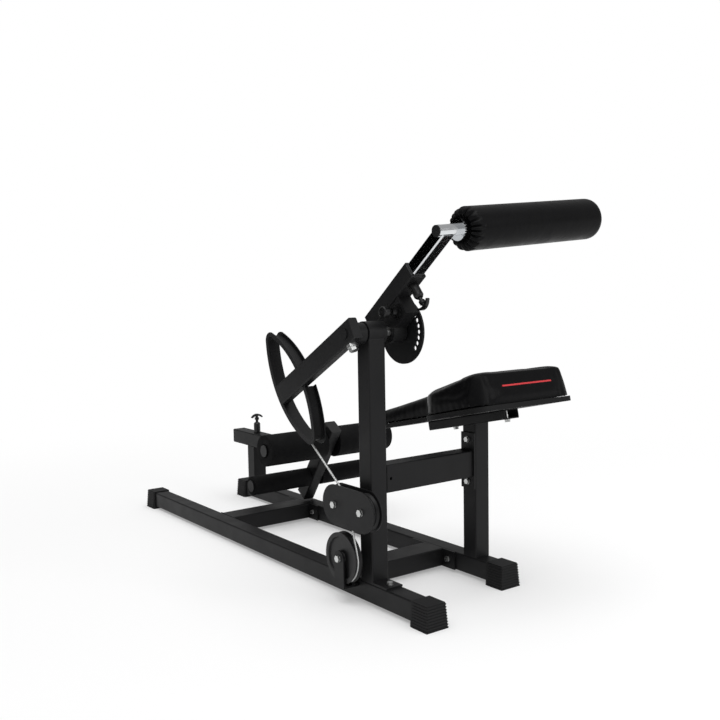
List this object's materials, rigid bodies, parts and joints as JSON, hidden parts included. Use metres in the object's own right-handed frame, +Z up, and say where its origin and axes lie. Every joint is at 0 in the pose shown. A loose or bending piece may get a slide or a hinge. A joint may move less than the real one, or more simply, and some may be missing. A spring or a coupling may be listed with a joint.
{
  "type": "roman chair",
  "caption": "Roman chair with a lever-mounted chest roller, an angle disc, a cable cam with pulleys, a tapered saddle seat and a sliding frame of foam leg rollers.",
  "frame": {"origin": "on the floor, under the middle of the whole machine's bounding box", "axes": "+Z up, +X along the rails towards the seat's wide end, +Y from the mast's rail to the seat's rail"},
  "size_m": [1.5841, 0.669, 1.0129],
  "materials": {
    "black_paint": "satin powder coat, light texture",
    "cap_rubber": "matte",
    "zinc_bolt": "zinc plated",
    "black_vinyl": "semi-gloss grained vinyl",
    "plywood": "black backing",
    "black_plastic": "matte",
    "black_pin": "gloss",
    "satin_chrome": "polished",
    "black_foam": "closed-cell foam",
    "steel_cable": "stranded wire"
  },
  "bodies": {
    "base": {"near_rail": "black_paint", "far_rail": "black_paint", "cap_near_rear": "cap_rubber", "cap_near_front": "cap_rubber", "cap_far_rear": "cap_rubber", "cap_far_front": "cap_rubber", "front_crossmember": "black_paint", "rear_crossmember": "black_paint", "mast": "black_paint", "pivot_bush": "black_paint", "beam": "black_paint", "frame_bolts": "zinc_bolt", "seat_post": "black_paint", "seat_bracket": "black_paint", "seat_bolts": "zinc_bolt", "seat_board": "plywood", "seat_pad": "black_vinyl", "back_post": "black_paint", "back_sleeve": "black_paint", "sleeve_liner": "black_plastic", "sleeve_plug": "black_plastic", "sleeve_pin_barrel": "black_pin", "guide_plates": "black_paint", "pulley_bolts": "zinc_bolt", "lower_pulley_bracket": "black_paint", "pulley_bushes": "zinc_bolt", "run_cable": "steel_cable", "cable_stop": "steel_cable"},
    "lever": {"lever_arm": "black_paint", "arm_plug": "black_plastic", "arm_lock_bolt": "zinc_bolt", "cam_ring": "black_paint", "pivot_shaft": "zinc_bolt", "shaft_end_washers": "zinc_bolt", "adjustment_disc": "black_paint", "cable_anchor": "zinc_bolt", "cam_cable": "steel_cable"},
    "carrier": {"pivot_block": "black_paint", "carrier_tube": "black_paint", "carrier_liner": "black_plastic", "carrier_barrels": "black_pin"},
    "angle_plunger": {"angle_plunger": "black_pin"},
    "carrier_pin": {"carrier_pin": "black_pin"},
    "extension": {"extension_tube": "satin_chrome", "chest_axle": "satin_chrome", "chest_axle_fittings": "black_plastic"},
    "chest_roller": {"chest_roller_core": "black_plastic", "chest_roller_pad": "black_vinyl"},
    "roller_frame": {"slide_tube": "black_paint", "roller_bracket": "black_paint", "foam_axles": "satin_chrome", "roller_frame_plugs": "black_plastic"},
    "sleeve_pin": {"sleeve_pin": "black_pin"},
    "upper_foam_near": {"upper_foam_near": "black_foam"},
    "upper_foam_far": {"upper_foam_far": "black_foam"},
    "lower_foam_near": {"lower_foam_near": "black_foam"},
    "lower_foam_far": {"lower_foam_far": "black_foam"},
    "guide_pulley_rear": {"guide_pulley_rear": "black_plastic"},
    "guide_pulley_front": {"guide_pulley_front": "black_plastic"},
    "lower_pulley": {"lower_pulley": "black_plastic"}
  },
  "joints": [
    {"name": "lever_swing", "type": "hinge", "parent": "base", "child": "lever", "pos_m": [0.54113, -0.2515, 0.68], "axis": [0, 1, 0], "range_deg": [0, 50]},
    {"name": "arm_angle", "type": "hinge", "parent": "lever", "child": "carrier", "pos_m": [0.54113, -0.2515, 0.68], "axis": [0, 1, 0], "range_deg": [-39, 13]},
    {"name": "angle_plunger_pull", "type": "slide", "parent": "carrier", "child": "angle_plunger", "axis": [0, 1, 0], "range_m": [0, 0.01], "stiffness_N_per_m": 600, "springref_m": 0.01},
    {"name": "arm_length", "type": "slide", "parent": "carrier", "child": "extension", "axis": [0.7782, 0, 0.628], "range_m": [-0.025, 0.075]},
    {"name": "carrier_pin_pull", "type": "slide", "parent": "carrier", "child": "carrier_pin", "axis": [-0.628, 0, 0.7782], "range_m": [0, 0.01], "stiffness_N_per_m": 600, "springref_m": 0.01},
    {"name": "chest_roller_spin", "type": "hinge", "parent": "extension", "child": "chest_roller", "pos_m": [0.73707, 0.09266, 0.94107], "axis": [0, 0.9969, 0.0785], "continuous": true},
    {"name": "leg_frame_slide", "type": "slide", "parent": "base", "child": "roller_frame", "axis": [1, 0, 0], "range_m": [-0.05, 0.05]},
    {"name": "sleeve_pin_pull", "type": "slide", "parent": "base", "child": "sleeve_pin", "axis": [0, 0, -1], "range_m": [0, 0.01], "stiffness_N_per_m": 600, "springref_m": 0.01},
    {"name": "upper_foam_near_spin", "type": "hinge", "parent": "roller_frame", "child": "upper_foam_near", "pos_m": [-0.16793, -0.0415, 0.274], "axis": [0, 1, 0], "continuous": true},
    {"name": "upper_foam_far_spin", "type": "hinge", "parent": "roller_frame", "child": "upper_foam_far", "pos_m": [-0.16793, 0.2235, 0.274], "axis": [0, 1, 0], "continuous": true},
    {"name": "lower_foam_near_spin", "type": "hinge", "parent": "roller_frame", "child": "lower_foam_near", "pos_m": [-0.2565, -0.0415, 0.146], "axis": [0, 1, 0], "continuous": true},
    {"name": "lower_foam_far_spin", "type": "hinge", "parent": "roller_frame", "child": "lower_foam_far", "pos_m": [-0.2565, 0.2235, 0.146], "axis": [0, 1, 0], "continuous": true},
    {"name": "guide_pulley_rear_spin", "type": "hinge", "parent": "base", "child": "guide_pulley_rear", "pos_m": [0.47013, -0.3075, 0.25], "axis": [0, 1, 0], "range_deg": [-434, 6]},
    {"name": "guide_pulley_front_spin", "type": "hinge", "parent": "base", "child": "guide_pulley_front", "pos_m": [0.58213, -0.3075, 0.25], "axis": [0, 1, 0], "continuous": true},
    {"name": "lower_pulley_spin", "type": "hinge", "parent": "base", "child": "lower_pulley", "pos_m": [0.48813, -0.3075, 0.116], "axis": [0, 1, 0], "range_deg": [-293, 6]}
  ],
  "couplings": [
    {"joint": "guide_pulley_rear_spin", "follows": "lever_swing", "ratio": -8.5429},
    {"joint": "lower_pulley_spin", "follows": "lever_swing", "ratio": -5.7281}
  ]
}
